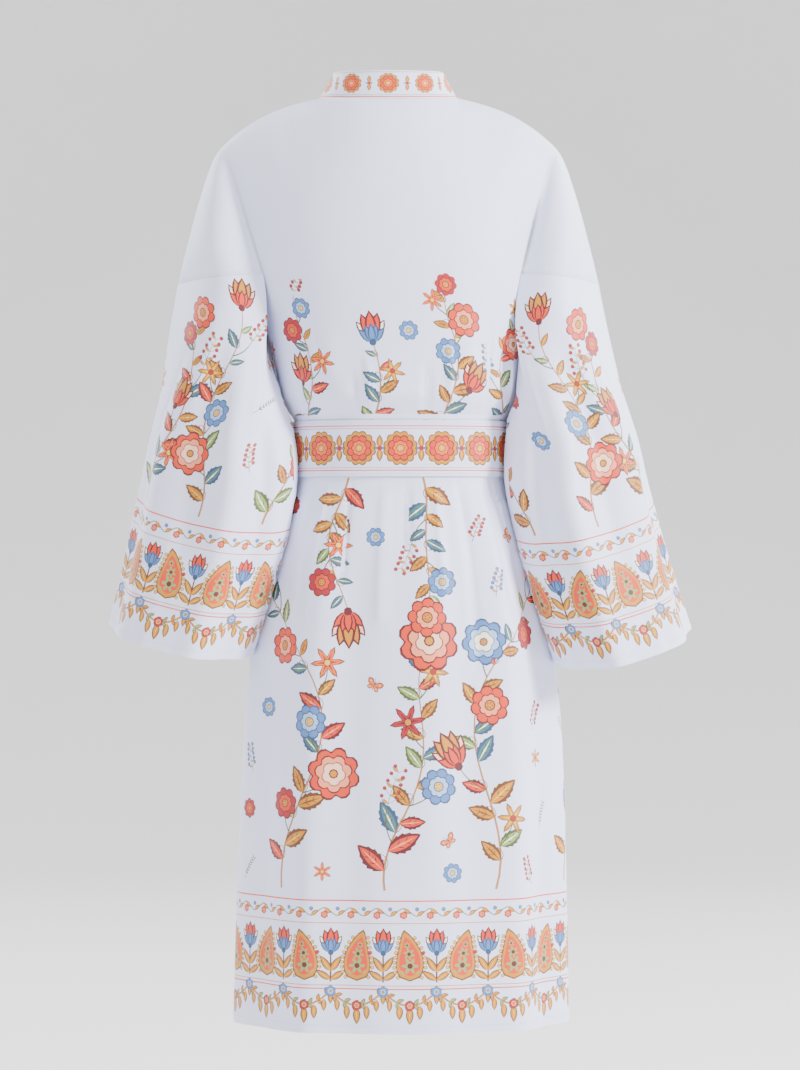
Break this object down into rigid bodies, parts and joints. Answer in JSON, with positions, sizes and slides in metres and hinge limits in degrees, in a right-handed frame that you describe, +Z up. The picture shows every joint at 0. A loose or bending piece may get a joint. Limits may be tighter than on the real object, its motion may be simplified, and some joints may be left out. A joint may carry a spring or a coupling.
{
  "type": "belted kimono coat",
  "caption": "Knee-length wrapped kimono coat with wide hanging sleeves, a standing neckband and a tied belt, in its worn, hollow form.",
  "frame": {"origin": "middle of the neck opening at the height of the shoulder line, where the coat hangs from its wearer", "axes": "+X to the wearer's left, +Y to the wearer's back, +Z up"},
  "size_m": [0.6921, 0.2982, 1.133],
  "materials": {
    "coat_cloth": "smooth crepe with a soft sheen, printed with flowers and a border",
    "band_cloth": "smooth doubled crepe with a printed orange and gold border"
  },
  "bodies": {
    "root": {"back": "coat_cloth", "front_left": "coat_cloth", "front_right": "coat_cloth", "sleeve_left": "coat_cloth", "sleeve_right": "coat_cloth", "neckband_back": "band_cloth", "neckband_left": "band_cloth", "neckband_right": "band_cloth", "belt": "band_cloth", "belt_knot": "band_cloth", "belt_tail_left": "band_cloth", "belt_tail_right": "band_cloth"}
  },
  "joints": []
}
